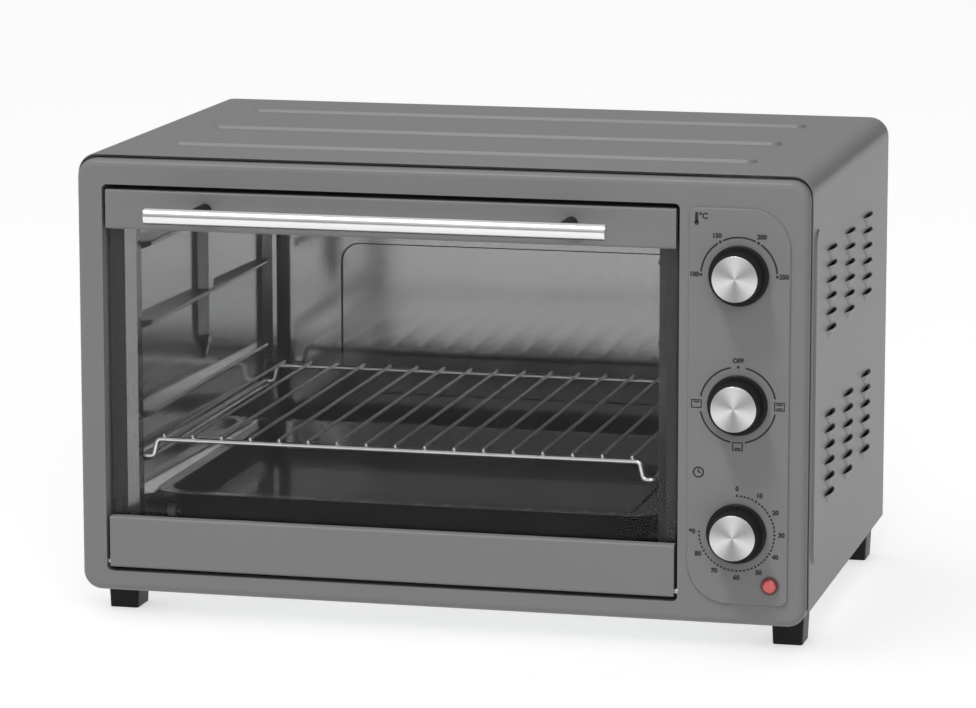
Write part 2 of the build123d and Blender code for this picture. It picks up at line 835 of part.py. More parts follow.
def handle_bar():
    tube = Circle(handle_diameter / 2) - Circle(handle_diameter / 2 - handle_wall)
    left = opening_x - handle_length / 2
    bar = extrude(Plane.YZ.offset(left) * Pos(handle_y, handle_z) * tube, handle_length)
    for x in (left, left + handle_length - 2 * handle_wall):
        bar += cross_bar(handle_diameter - handle_wall, x, x + 2 * handle_wall, handle_y, handle_z)
    return bar


def handle_post(x):
    post = rod(post_diameter, x, handle_z, handle_y + handle_diameter / 2 - post_bite, front_y)
    post -= cross_bar(handle_diameter, x - post_diameter, x + post_diameter, handle_y, handle_z)
    hole = screw_shank + 2 * screw_play
    return post - rod(hole, x, handle_z, front_y - handle_screw_reach - over_cut, front_y + over_cut)


def handle_screws():
    screws = []
    for x in post_places():
        head = rod(screw_head, x, handle_z, front_y + door_sheet, front_y + door_sheet + screw_head_thick)
        shank = rod(screw_shank, x, handle_z, front_y - handle_screw_reach, front_y + door_sheet)
        screws.append(head + shank)
    return Compound(screws)


def hinge_bracket():
    """Right-hand bracket: a foot in the lower rail round the pin and an arm behind the glass."""
    x1 = door_end_x - door_sheet - bracket_clear
    low = door_z + door_sheet + bracket_clear
    knee = door_z + glass_lift - bracket_clear
    back = front_y + bracket_back
    arm = glass_back_y + bracket_clear
    profile = Polygon(
        (front_y + door_sheet + bracket_clear, low),
        (back - bracket_clear, low),
        (back, low + rail_edge),
        (back, door_z + bracket_height),
        (arm, door_z + bracket_height),
        (arm, knee),
        (front_y + door_sheet + bracket_clear, knee),
        align=None,
    )
    plate = extrude(Plane.YZ.offset(x1 - bracket_thick) * profile, bracket_thick)
    bore = hinge_pin_diameter + 2 * weld_gap
    return plate - cross_bar(bore, x1 - 2 * bracket_thick, x1 + over_cut, hinge_y, hinge_z)


def hinge_pin():
    end = door_end_x + door_side_gap + bezel_sheet + hinge_plate_thick
    return cross_bar(hinge_pin_diameter, end - hinge_pin_length, end, hinge_y, hinge_z)


def hinge_plate():
    """Right-hand bearing plate, on the outside of the door opening's folded edge."""
    x0 = door_end_x + door_side_gap + bezel_sheet
    low = opening_z + opening_corner
    profile = Polygon(
        (front_y + bezel_sheet, low),
        (bezel_back_y, low),
        (bezel_back_y, low + hinge_plate_height),
        (front_y + bezel_sheet, low + hinge_plate_height),
        align=None,
    )
    plate = extrude(Plane.YZ.offset(x0) * profile, hinge_plate_thick)
    bore = hinge_pin_diameter + 2 * hinge_play
    return plate - cross_bar(bore, x0 - over_cut, x0 + hinge_plate_thick + over_cut, hinge_y, hinge_z)


def rack_frame():
    """One wire bent round: low sides on the rails, front and back raised to carry the cross wires."""
    side = opening_x - rack_span / 2
    inner = side + rack_foot
    front = cavity_y + rack_front_gap
    middle = front + rack_depth / 2
    low = rack_rail_z + seat_gap + rack_wire / 2
    high = low + rack_step
    half = [(side, middle, low), (side, front, low), (inner, front, low), (inner + rack_slant, front, high)]
    other = [(2 * opening_x - x, y, z) for x, y, z in reversed(half)]
    path = FilletPolyline(*half, *other, radius=rack_bend)
    start = Plane(origin=path @ 0, z_dir=path % 0)
    bent = sweep(start * Circle(rack_wire / 2), path=path)
    return bent + mirror(bent, about=Plane.XZ.offset(-middle))


def rack_wires():
    front = cavity_y + rack_front_gap
    z = rack_rail_z + seat_gap + rack_wire + rack_step + cross_wire / 2 + weld_gap
    wires = []
    for index in range(cross_count):
        x = opening_x + (index - (cross_count - 1) / 2) * cross_pitch
        wire = rod(cross_wire, x, z, front - rack_wire / 2, front + rack_depth + rack_wire / 2)
        wires.append(fillet(wire.edges().filter_by(GeomType.CIRCLE), cross_end))
    return Compound(wires)


def tray_hollow(inset):
    """The tray's sloping well, from the rim down, or the space inside it."""
    length = tray_length - 2 * tray_rim - 2 * inset
    mouth = RectangleRounded(tray_width - 2 * inset, length, tray_corner - inset)
    return extrude(mouth, -(tray_depth - inset), taper=tray_slope)


def baking_tray():
    rim = RectangleRounded(tray_rim_width, tray_length, tray_corner)
    tray = Pos(0, 0, -tray_sheet) * extrude(rim, tray_sheet) + tray_hollow(0)
    tray -= tray_hollow(tray_sheet)
    foot = tray_depth * tan(radians(tray_slope)) + tray_floor_margin
    panel = RectangleRounded(tray_width - 2 * foot, tray_length - 2 * tray_rim - 2 * foot, tray_corner)
    floor_z = tray_sheet - tray_depth
    tray += Pos(0, 0, floor_z) * extrude(panel, tray_floor_relief, taper=bead_slope)
    tray -= Pos(0, 0, floor_z - tray_sheet) * extrude(panel, tray_floor_relief, taper=bead_slope)
    middle = cavity_y + tray_front_gap + tray_length / 2
    return Pos(opening_x, middle, tray_rail_z + seat_gap + tray_sheet) * tray


def cord_gland():
    z = bezel_lift + gland_rise
    gland = rod(gland_flange, gland_x, z, cover_back_y, cover_back_y + gland_flange_thick)
    gland += rod(gland_body, gland_x, z, cover_back_y - gland_length, cover_back_y)
    back = cover_back_y + gland_flange_thick
    return gland - rod(gland_bore, gland_x, z, cover_back_y - gland_length - over_cut, back + over_cut)


def terminal_block():
    y = front_y + terminal_place
    x = gland_x
    half = terminal_width / 2
    body = block(x - half, x + half, y, y + terminal_length, base_top_z, base_top_z + terminal_height)
    well = Cylinder(terminal_bore / 2, terminal_height)
    middle = Pos(x, y + terminal_length / 2, base_top_z + terminal_height)
    for step in (-1, 0, 1):
        body -= middle * Pos(step * terminal_width / 3, 0, 0) * well
    return body


def knob_pieces(name, prefix):
    """One knob, its metal face and its shaft, as three nodes."""
    place = facing(knob_x, knob_back_y, bezel_lift + knob_rises[name])
    return {
        prefix + "_knob": place * knob_body(),
        prefix + "_knob_face": place * knob_face(),
        prefix + "_shaft": knob_shaft(name),
    }


def all_pieces():
    left_wall = cavity_left_wall()
    bracket = hinge_bracket()
    pin = hinge_pin()
    plate = hinge_plate()
    post_left, post_right = post_places()
    top_clamp_z = door_top_z - top_rail_height / 2
    bottom_clamp_z = door_z + glass_lift + clamp_height
    pieces = {
        "front_bezel": front_bezel(),
        "outer_shell": outer_shell(),
        "back_cover": back_cover(),
        "base_plate": base_plate(),
        "cavity_frame": cavity_frame(),
        "cavity_left_wall": left_wall,
        "cavity_right_wall": across(left_wall),
        "cavity_ceiling": cavity_ceiling(),
        "cavity_floor": cavity_floor(),
        "cavity_back_wall": cavity_back_wall(),
        "control_heat_shield": control_heat_shield(),
        "lower_heater_front": heater(0),
        "lower_heater_rear": heater(1),
        "upper_heater_front": heater(2),
        "upper_heater_rear": heater(3),
        "heater_insulators": heater_insulators(),
        "thermostat": control_unit("temperature"),
        "function_switch": control_unit("function"),
        "timer_unit": control_unit("timer"),
        "control_nuts": control_nuts(),
        "indicator_lens": indicator_lens(),
        "indicator_lamp_holder": indicator_holder(),
        "terminal_block": terminal_block(),
        "cord_gland": cord_gland(),
        "foot_screws": foot_screws(),
        "back_cover_screws": cover_screws(),
        "right_hinge_plate": plate,
        "left_hinge_plate": across(plate),
        "door_top_rail": door_top_rail(),
        "door_bottom_rail": door_bottom_rail(),
        "door_glass": door_glass(),
        "glass_clamp_top": glass_clamp(top_clamp_z),
        "glass_clamp_bottom": glass_clamp(bottom_clamp_z),
        "handle_bar": handle_bar(),
        "handle_post_left": handle_post(post_left),
        "handle_post_right": handle_post(post_right),
        "handle_screws": handle_screws(),
        "right_hinge_bracket": bracket,
        "left_hinge_bracket": across(bracket),
        "right_hinge_pin": pin,
        "left_hinge_pin": across(pin),
        "rack_frame": rack_frame(),
        "rack_wires": rack_wires(),
        "baking_tray": baking_tray(),
    }
    for name, (x, y) in foot_places().items():
        pieces[name] = foot(x, y)
    for name in knob_rises:
        pieces.update(knob_pieces(name, name))
    return pieces


os.makedirs("parts", exist_ok=True)
for node, solid in all_pieces().items():
    export_step(solid, f"parts/{node}.step")
    print(node, round(solid.volume))
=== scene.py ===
import json
import math

import bmesh
import bpy
from mathutils import Matrix, Vector


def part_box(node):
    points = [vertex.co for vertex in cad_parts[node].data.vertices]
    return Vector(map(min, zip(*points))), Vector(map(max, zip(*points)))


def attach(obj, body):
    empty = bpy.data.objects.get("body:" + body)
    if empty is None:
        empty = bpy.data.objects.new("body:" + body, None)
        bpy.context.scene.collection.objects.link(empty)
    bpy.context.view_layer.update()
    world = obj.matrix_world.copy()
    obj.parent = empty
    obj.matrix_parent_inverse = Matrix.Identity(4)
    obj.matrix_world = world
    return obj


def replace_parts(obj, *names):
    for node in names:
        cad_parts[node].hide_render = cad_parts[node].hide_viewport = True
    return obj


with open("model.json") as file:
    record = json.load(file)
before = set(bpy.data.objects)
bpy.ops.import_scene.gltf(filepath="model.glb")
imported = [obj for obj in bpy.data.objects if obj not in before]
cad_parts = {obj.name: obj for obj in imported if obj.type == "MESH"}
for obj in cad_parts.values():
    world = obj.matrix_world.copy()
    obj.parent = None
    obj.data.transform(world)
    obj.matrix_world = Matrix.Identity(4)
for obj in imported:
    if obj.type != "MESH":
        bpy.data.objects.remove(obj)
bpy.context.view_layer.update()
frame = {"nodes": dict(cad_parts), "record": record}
mm = 0.001
print("frame loaded:", len(frame["nodes"]), "nodes")


def mathStep(operation, swapped=False):
    def step(self, other=None):
        pair = (other, self) if swapped else (self, other)
        inputs = {i: value for i, value in enumerate(pair) if value is not None}
        return self.graph.node("ShaderNodeMath", {"operation": operation}, inputs)
    return step


class Val:
    # a node's output that takes part in ordinary sums
    def __init__(self, graph, socket):
        self.graph = graph
        self.socket = socket

    __add__ = mathStep("ADD")
    __radd__ = mathStep("ADD", True)
    __sub__ = mathStep("SUBTRACT")
    __rsub__ = mathStep("SUBTRACT", True)
    __mul__ = mathStep("MULTIPLY")
    __rmul__ = mathStep("MULTIPLY", True)
    __truediv__ = mathStep("DIVIDE")
    __lt__ = mathStep("LESS_THAN")
    sine = mathStep("SINE")
    cosine = mathStep("COSINE")
    root = mathStep("SQRT")
    bearing = mathStep("ARCTAN2")

    def also(self, output):
        return Val(self.graph, self.socket.node.outputs[output])  # another output of the same node


class Graph:
    # one node tree; every node comes from node(), its settings first and then its sockets
    def __init__(self, tree):
        self.tree = tree

    def node(self, kind, settings=None, inputs=None, output=0):
        made = self.tree.nodes.new(kind)
        for name, value in (settings or {}).items():
            setattr(made, name, value)
        for name, value in (inputs or {}).items():
            if isinstance(value, Val):
                self.tree.links.new(value.socket, made.inputs[name])
            else:
                made.inputs[name].default_value = value
        return Val(self, made.outputs[output]) if made.outputs else None


class Finish(Graph):
    def __init__(self, name):
        self.material = bpy.data.materials.new(name)
        self.material.use_nodes = True
        super().__init__(self.material.node_tree)
        self.tree.nodes.clear()
        self.place = self.node("ShaderNodeTexCoord", output="Object")

    def stretched(self, x, y, z):
        return self.node("ShaderNodeMapping", {}, {"Vector": self.place, "Scale": (x, y, z)})

    def centred(self, middle):
        return self.node("ShaderNodeMapping", {}, {"Vector": self.place, "Location": -Vector(middle)})

    def noise(self, size, detail=2.0, place=None):  # size of a blotch in metres
        inputs = {"Vector": place or self.place, "Scale": 1 / size, "Detail": detail}
        return self.node("ShaderNodeTexNoise", {}, inputs)

    def cells(self, size, output="Distance"):
        return self.node("ShaderNodeTexVoronoi", {}, {"Vector": self.place, "Scale": 1 / size}, output)

    def spread(self, value, low, high):  # stretches low..high to 0..1
        return self.node("ShaderNodeMapRange", {}, {"Value": value, "From Min": low, "From Max": high})

    def shades(self, share, dark, light):
        first, last = (tone if isinstance(tone, Val) else (*tone, 1) for tone in (dark, light))
        return self.node("ShaderNodeMix", {"data_type": "RGBA"}, {0: share, 6: first, 7: last}, 2)

    def relief(self, height, depth, strength=1.0):
        inputs = {"Height": height, "Distance": depth, "Strength": strength}
        return self.node("ShaderNodeBump", {}, inputs)

    def surface(self, sockets):
        return self.close(self.node("ShaderNodeBsdfPrincipled", {}, sockets))

    def close(self, shader):
        self.node("ShaderNodeOutputMaterial", {}, {"Surface": shader})
        return self.material


def satinPaint(name, dark, light):
    paint = Finish(name)
    drift = paint.noise(0.11)
    fleck = paint.noise(0.0007, 1)
    peel = paint.noise(0.0022, 1.5)
    return paint.surface({
        "Base Color": paint.shades(drift * 0.5 + fleck * 0.5, dark, light),
        "Roughness": 0.27 + drift * 0.04 + fleck * 0.04,
        "Specular IOR Level": 0.08,
        "Normal": paint.relief(peel + fleck * 0.3, 0.00004),
    })


liningLooks = {
    # the darkening at the mouth and on slopes is painted shade, standing in for the dark the sheet would
    # reflect
    "mouthShadeFade": (29 * mm, 22 * mm),      # how far in from the mouth the sheet is darker, as painted shade
    "mouthShadeTone": (0.36, 0.36, 0.364),
    "slopeFacing": -0.35,                 # a face that turns further to the mouth is a slope
    "slopeShadeTone": (0.03, 0.03, 0.031),
}


def coatedLining(name, dark, light, metal=1.0, paintedSlopeShade=0.0):
    # aluminised sheet: faint spangle, a drawn grain and the slow sway of thin pressed metal
    sheet = Finish(name)
    spangle = sheet.cells(0.009, "Color") * 1.0
    streak = sheet.noise(1.0, 3, sheet.stretched(260, 260, 9))
    sway = sheet.noise(0.12, 1)
    tone = sheet.shades(spangle * 0.25 + streak * 0.75, dark, light)
    if paintedSlopeShade:    # painted shade: slopes that face the mouth are darker, for the dark they would reflect
        turned = sheet.node("ShaderNodeTexCoord", output="Normal")
        facing = sheet.node("ShaderNodeSeparateXYZ", {}, {0: turned}, "Y")
        slopeShadeMask = (facing < liningLooks["slopeFacing"]) * paintedSlopeShade
        tone = sheet.shades(slopeShadeMask, tone, liningLooks["slopeShadeTone"])
    # painted shade: the sheet is darker near the mouth, standing in for the dark it would reflect there
    depth = sheet.node("ShaderNodeSeparateXYZ", {}, {0: sheet.place}, "Y")
    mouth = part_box("cavity_left_wall")[0].y
    paintedMouthShade = sheet.spread(depth, *(mouth + fade for fade in liningLooks["mouthShadeFade"]))
    return sheet.surface({
        "Base Color": sheet.shades(paintedMouthShade, tone, liningLooks["mouthShadeTone"]),
        "Metallic": metal,
        "Roughness": 0.09 + spangle * 0.03 + streak * 0.05,
        "Normal": sheet.relief(sway, 0.0005),
    })


def zincSheet():
    sheet = Finish("zincSheet")
    spangle = sheet.cells(0.014, "Color") * 1.0
    bloom = sheet.noise(0.05, 4)
    return sheet.surface({
        "Base Color": sheet.shades(spangle * 0.6 + bloom * 0.4, (0.42, 0.43, 0.44), (0.66, 0.67, 0.68)),
        "Metallic": 1.0,
        "Roughness": 0.30 + spangle * 0.12 + bloom * 0.10,
        "Normal": sheet.relief(spangle, 0.00002),
    })


def chromePlate(name, polish):
    plate = Finish(name)
    smudge = plate.noise(0.03, 3)
    draw = plate.noise(1.0, 2, plate.stretched(20, 1500, 1500))
    return plate.surface({
        "Base Color": plate.shades(smudge, (0.78, 0.785, 0.79), (0.86, 0.865, 0.87)),
        "Metallic": 1.0,
        "Roughness": polish + smudge * 0.07 + draw * 0.03,
        "Normal": plate.relief(draw, 0.000004),
    })


def blackMoulding():
    moulding = Finish("blackMoulding")
    spark = moulding.noise(0.0005, 2)
    rub = moulding.noise(0.02, 3)
    return moulding.surface({
        "Base Color": moulding.shades(rub, (0.008, 0.008, 0.0085), (0.016, 0.016, 0.017)),
        "Roughness": 0.30 + rub * 0.10 + spark * 0.08,
        "Specular IOR Level": 0.14,
        "Normal": moulding.relief(spark, 0.00003),
    })


def blackPaint():
    paint = Finish("blackPaint")
    peel = paint.noise(0.002, 2)
    drift = paint.noise(0.03, 2)
    return paint.surface({
        "Base Color": paint.shades(drift, (0.010, 0.010, 0.0105), (0.020, 0.020, 0.021)),
        "Roughness": 0.34 + drift * 0.12,
        "Normal": paint.relief(peel, 0.00004),
    })


spunLooks = {
    # painted highlight: bright fans drawn into the face's colour
    "highlightFans": 3,
    "ringPitch": 0.42 * mm,
    "latheLines": 5200,       # to the metre
}


def spunAluminium(knob):
    # turned face: rings in the relief, and bright fans painted into its colour as a painted highlight
    spun = Finish(knob + "SpunAluminium")
    low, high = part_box(knob + "_knob_face")
    offset = spun.node("ShaderNodeSeparateXYZ", {}, {0: spun.centred((low + high) / 2)})
    across, up = offset, offset.also("Z")
    radius = (across * across + up * up).root()
    # painted highlight: bright fans fixed to the face, not made by the lamps
    paintedFanHighlight = (across.bearing(up) * spunLooks["highlightFans"]).cosine() * 0.5 + 0.5
    rings = (radius * (math.tau / spunLooks["ringPitch"])).sine()
    stepped = spun.node("ShaderNodeCombineXYZ", {}, {0: radius * spunLooks["latheLines"]})
    lathe = spun.noise(1.0, 2, stepped)
    tone = paintedFanHighlight * 0.78 + lathe * 0.22
    return spun.surface({
        "Base Color": spun.shades(tone, (0.30, 0.303, 0.306), (0.74, 0.744, 0.748)),
        "Metallic": 1.0,
        "Roughness": 0.24 + lathe * 0.10,
        "Normal": spun.relief(rings, 0.000012),
    })


def windowGlass():
    pane = Finish("windowGlass")
    clear = pane.node("ShaderNodeBsdfTransparent", {}, {"Color": (0.95, 0.952, 0.952, 1)})
    gloss = pane.node("ShaderNodeBsdfGlossy", {}, {"Color": (1, 1, 1, 1), "Roughness": 0.012})
    glance = pane.node("ShaderNodeFresnel", {}, {"IOR": 1.17})
    haze = pane.noise(0.05, 3) * 0.004
    return pane.close(pane.node("ShaderNodeMixShader", {}, {0: glance + haze, 1: clear, 2: gloss}))


def heaterTube():
    tube = Finish("heaterTube")
    heat = tube.noise(0.04, 3)
    scale = tube.noise(0.0012, 2)
    return tube.surface({
        "Base Color": tube.shades(heat, (0.10, 0.098, 0.096), (0.24, 0.235, 0.23)),
        "Metallic": 0.85,
        "Roughness": 0.38 + scale * 0.2,
        "Normal": tube.relief(scale, 0.00003),
    })


def glazedCeramic():
    bush = Finish("glazedCeramic")
    speck = bush.noise(0.002, 3)
    return bush.surface({
        "Base Color": bush.shades(speck, (0.74, 0.72, 0.67), (0.86, 0.84, 0.80)),
        "Roughness": 0.22 + speck * 0.15,
        "Normal": bush.relief(speck, 0.00003),
    })


def darkEnamel():
    enamel = Finish("darkEnamel")
    fleck = enamel.cells(0.0035) < 0.09
    sag = enamel.noise(0.015, 2)
    return enamel.surface({
        "Base Color": enamel.shades(fleck * 0.5 + sag * 0.1, (0.012, 0.012, 0.013), (0.10, 0.10, 0.104)),
        "Roughness": 0.15 + sag * 0.08,
        "Specular IOR Level": 0.5,
        "Coat Weight": 0.35,
        "Coat Roughness": 0.05,
        "Normal": enamel.relief(sag, 0.00012),
    })


lensLooks = {
    "ringPitch": 1.1 * mm,
    "glowFade": (5.8 * mm, 3.5 * mm),     # from the dark rim to the lit middle
}


def redLens():
    lens = Finish("redLens")
    low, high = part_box("indicator_lens")
    offset = lens.node("ShaderNodeSeparateXYZ", {}, {0: lens.centred((low + high) / 2)})
    across, up = offset, offset.also("Z")
    radius = (across * across + up * up).root()
    rings = (radius * (math.tau / lensLooks["ringPitch"])).sine()
    glow = lens.spread(radius, *lensLooks["glowFade"])
    return lens.surface({
        "Base Color": lens.shades(glow, (0.05, 0.006, 0.008), (0.50, 0.07, 0.07)),
        "Roughness": 0.16 + rings * 0.03,
        "Coat Weight": 0.7,
        "Emission Color": lens.shades(glow, (0.0, 0.0, 0.0), (0.42, 0.06, 0.06)),
        "Emission Strength": 0.2,
        "Normal": lens.relief(rings, 0.00005),
    })


def controlMoulding():
    moulding = Finish("controlMoulding")
    grain = moulding.noise(0.0015, 3)
    return moulding.surface({
        "Base Color": moulding.shades(grain, (0.035, 0.034, 0.033), (0.065, 0.063, 0.060)),
        "Roughness": 0.45 + grain * 0.15,
        "Normal": moulding.relief(grain, 0.00004),
    })


def platedSteel():
    plated = Finish("platedSteel")
    tint = plated.noise(0.006, 3)
    return plated.surface({
        "Base Color": plated.shades(tint, (0.52, 0.51, 0.46), (0.68, 0.68, 0.66)),
        "Metallic": 1.0,
        "Roughness": 0.24 + tint * 0.14,
        "Normal": plated.relief(tint, 0.00002),
    })


def panelInk():
    ink = Finish("panelInk")
    dry = ink.noise(0.0012, 2)
    return ink.surface({
        "Base Color": ink.shades(dry, (0.006, 0.006, 0.0065), (0.014, 0.014, 0.015)),
        "Roughness": 0.5 + dry * 0.2,
        "Normal": ink.relief(dry, 0.00001),
    })


finishes = {
    "grey_paint": satinPaint("greySatinPaint", (0.172, 0.172, 0.174), (0.194, 0.194, 0.196)),
    # painted shade: a darker copy of the grey paint for the cavity frame, for the shade it sits in behind the
    # glass
    "dark_grey_paint": satinPaint("darkGreyPaint", (0.053, 0.053, 0.054), (0.067, 0.067, 0.068)),
    "zinc_sheet": zincSheet(),
    "lining_sheet": coatedLining("coatedLining", (0.47, 0.47, 0.475), (0.54, 0.54, 0.545)),
    "chrome": chromePlate("chromePlate", polish=0.19),
    "black_plastic": blackMoulding(),
    "black_paint": blackPaint(),
    "door_glass": windowGlass(),
    "heater_steel": heaterTube(),
    "ceramic": glazedCeramic(),
    "dark_enamel": darkEnamel(),
    "red_lens": redLens(),
    "control_moulding": controlMoulding(),
    "plated_steel": platedSteel(),
}
inkFinish = panelInk()
wireChrome = chromePlate("wireChrome", polish=0.24)
# painted light: the side walls are a lighter copy of the lining sheet
wallLining = coatedLining("wallLining", (0.86, 0.86, 0.865), (0.93, 0.93, 0.935), metal=0.86, paintedSlopeShade=0.8)
nodeFinishes = {    # pieces that differ from the rest of their slot
    "rack_frame": wireChrome,
    "rack_wires": wireChrome,
    "cavity_left_wall": wallLining,
    "cavity_right_wall": wallLining,
    # painted shade: the back wall is a darker copy of the lining sheet
    "cavity_back_wall": coatedLining("backLining", (0.30, 0.30, 0.304), (0.345, 0.345, 0.349)),
    **{knob + "_knob_face": spunAluminium(knob) for knob in ("temperature", "function", "timer")},
}
print("finishes made:", len(finishes) + len(set(nodeFinishes.values())) + 1)


def dressNodes():
    for row in frame["record"]["subparts"]:
        node = row["node"]
        finish = nodeFinishes.get(node) or finishes[row["material_slot"]]
        mesh = frame["nodes"][node].data
        if not mesh.materials:
            mesh.materials.append(finish)
        for index in range(len(mesh.materials)):
            mesh.materials[index] = finish


dressNodes()


class Shape(Graph):
    # a geometry tree with named sizes; it ends in real faces and one finish
    def __init__(self, name, sizes):
        super().__init__(bpy.data.node_groups.new(name, "GeometryNodeTree"))
        face = self.tree.interface
        face.new_socket("Geometry", in_out="INPUT", socket_type="NodeSocketGeometry")
        for size, kind in sizes.items():
            face.new_socket(size, in_out="INPUT", socket_type="NodeSocket" + kind)
        face.new_socket("Finish", in_out="INPUT", socket_type="NodeSocketMaterial")
        face.new_socket("Geometry", in_out="OUTPUT", socket_type="NodeSocketGeometry")
        self.given = self.node("NodeGroupInput")

    def end(self, geometry):
        real = self.node("GeometryNodeRealizeInstances", {}, {0: geometry})
        done = self.node("GeometryNodeSetMaterial", {}, {
            "Geometry": real, "Material": self.given.also("Finish")})
        self.node("NodeGroupOutput", {}, {0: done})
        return self


def grow(name, mesh, shape, values):
    # runs a geometry tree on a mesh and keeps the plain result
    seed = bpy.data.objects.new(name, mesh)
    bpy.context.scene.collection.objects.link(seed)
    modifier = seed.modifiers.new("shape", "NODES")
    modifier.node_group = shape.tree
    sockets = {item.name: item.identifier for item in shape.tree.interface.items_tree
               if item.item_type == "SOCKET" and item.in_out == "INPUT"}
    for size, value in values.items():
        modifier[sockets[size]] = value
    graph = bpy.context.evaluated_depsgraph_get()
    plain = bpy.data.meshes.new_from_object(seed.evaluated_get(graph))
    seed.modifiers.remove(modifier)
    seed.data = plain
    return seed


def looseMesh(points, edges=()):
    mesh = bpy.data.meshes.new("path")
    mesh.from_pydata(points, edges, [])
    return mesh


def inkLineShape():
    # edges become flat printed lines and lone points become dots, drawn upright on the panel
    shape = Shape("inkLine", {
        "Line Width": "Float", "Dot Size": "Float", "Ink Depth": "Float", "Panel Y": "Float"})
    given = shape.given
    width, depth = given.also("Line Width"), given.also("Ink Depth")
    path = shape.node("GeometryNodeMeshToCurve", {}, {"Mesh": given})
    path = shape.node("GeometryNodeSetCurveNormal", {"mode": "Z_UP"}, {"Curve": path})
    strip = shape.node("GeometryNodeCurvePrimitiveQuadrilateral", {}, {"Width": width, "Height": depth})
    lines = shape.node("GeometryNodeCurveToMesh", {}, {
        "Curve": path, "Profile Curve": strip, "Fill Caps": True})
    alone = shape.node("GeometryNodeInputMeshVertexNeighbors") < 0.5
    disc = shape.node("GeometryNodeMeshCylinder", {}, {
        "Vertices": 20, "Radius": given.also("Dot Size") * 0.5, "Depth": depth})
    dots = shape.node("GeometryNodeInstanceOnPoints", {}, {
        "Points": given, "Selection": alone, "Instance": disc})
    both = shape.node("GeometryNodeJoinGeometry", {}, {0: lines})
    shape.tree.links.new(dots.socket, both.socket.node.inputs[0])
    seat = shape.node("ShaderNodeCombineXYZ", {}, {"Y": given.also("Panel Y")})
    upright = shape.node("GeometryNodeTransform", {}, {
        "Geometry": both, "Translation": seat, "Rotation": (math.pi / 2, 0, 0)})
    return shape.end(upright)


dialSizes = {
    "radius": 27.8 * mm,        # printed ring round each knob
    "labelRadius": 32.8 * mm,
    "offRadius": 32.3 * mm,
    "numberHeight": 3.4 * mm,
    "lineWidth": 1.25 * mm,
    "fineWidth": 1.15 * mm,
    "dotSize": 2.2 * mm,
    "inkDepth": 0.06 * mm,
    "arcStep": math.radians(3),
    "dotGap": math.radians(4.5),
    "symbolRadius": 30.4 * mm,
    "symbolWidth": 7.0 * mm,
    "symbolHeight": 5.6 * mm,
    "symbolInset": 1.35 * mm,
    "symbolGap": math.radians(11.5),
    "tickLength": 2.0 * mm,
    "dashes": 5,
    "dashShare": 0.62,
    "boldness": 0.28 * mm,
    "capShare": 0.73,           # height of a capital against the font's size
}
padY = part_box("front_bezel")[0].y


def knobCentre(knob):
    low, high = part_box(knob + "_shaft")
    return Vector(((low.x + high.x) / 2, (low.z + high.z) / 2))


class LineArt:
    # gathers printed lines, dots and words in panel coordinates: x to the right, y up
    def __init__(self, name):
        self.name = name
        self.points = []
        self.edges = []
        self.words = []

    def line(self, path, closed=False):
        first = len(self.points)
        self.points += [(x, y, 0) for x, y in path]
        self.edges += [(first + i, first + i + 1) for i in range(len(path) - 1)]
        if closed:
            self.edges.append((first + len(path) - 1, first))

    def dot(self, place):
        self.points.append((place[0], place[1], 0))

    def arc(self, centre, radius, start, stop):  # clock angles, from twelve, in radians
        steps = max(2, round(abs(stop - start) / dialSizes["arcStep"]))
        self.line([clockPoint(centre, radius, start + (stop - start) * i / steps) for i in range(steps + 1)])

    def word(self, text, place, height):
        self.words.append((text, place, height))

    def build(self, lineWidth):
        sizes = dialSizes
        lines = grow(self.name, looseMesh(self.points, self.edges), inkLine, {
            "Line Width": lineWidth, "Dot Size": sizes["dotSize"], "Ink Depth": sizes["inkDepth"],
            "Panel Y": padY - sizes["inkDepth"] / 2, "Finish": inkFinish})
        whole = bmesh.new()
        whole.from_mesh(lines.data)
        for text, place, height in self.words:
            whole.from_mesh(wordMesh(text, place, height))
        bmesh.ops.recalc_face_normals(whole, faces=whole.faces)
        for face in whole.faces:
            face.material_index = 0
        whole.to_mesh(lines.data)
        lines.data.materials.clear()
        lines.data.materials.append(inkFinish)
        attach(lines, "cabinet")
        return lines


def clockPoint(centre, radius, turn):
    return centre[0] + radius * math.sin(turn), centre[1] + radius * math.cos(turn)


def wordMesh(text, place, height):
    letters = bpy.data.curves.new("letters", "FONT")
    letters.body = text
    letters.size = height / dialSizes["capShare"]
    letters.align_x = "CENTER"
    letters.align_y = "CENTER"
    letters.extrude = dialSizes["inkDepth"] / 2
    letters.offset = dialSizes["boldness"]
    letters.resolution_u = 3
    holder = bpy.data.objects.new("letters", letters)
    mesh = bpy.data.meshes.new_from_object(holder)
    bpy.data.objects.remove(holder)
    seat = Matrix.Translation((place[0], padY - dialSizes["inkDepth"] / 2, place[1]))
    mesh.transform(seat @ Matrix.Rotation(math.pi / 2, 4, "X"))
    return mesh


inkLine = inkLineShape()


def temperatureArt():
    art, sizes = LineArt("temperatureDialPrint"), dialSizes
    centre = knobCentre("temperature")
    marks = {"100": -90, "150": -30, "200": 30, "250": 90}
    turns = [math.radians(turn) for turn in marks.values()]
    for start, stop in zip(turns, turns[1:]):
        art.arc(centre, sizes["radius"], start + sizes["dotGap"], stop - sizes["dotGap"])
    for text, turn in zip(marks, turns):
        art.dot(clockPoint(centre, sizes["radius"], turn))
        art.word(text, clockPoint(centre, sizes["labelRadius"], turn), sizes["numberHeight"])
    return art.build(sizes["lineWidth"])


def functionArt():
    art, sizes = LineArt("functionDialPrint"), dialSizes
    centre = knobCentre("function")
    quarter, gap = math.pi / 2, sizes["symbolGap"]
    for turn in range(4):
        art.arc(centre, sizes["radius"], turn * quarter + gap, (turn + 1) * quarter - gap)
    art.dot(clockPoint(centre, sizes["radius"], 0))
    art.word("OFF", clockPoint(centre, sizes["offRadius"], 0), sizes["numberHeight"])
    return art.build(sizes["lineWidth"])


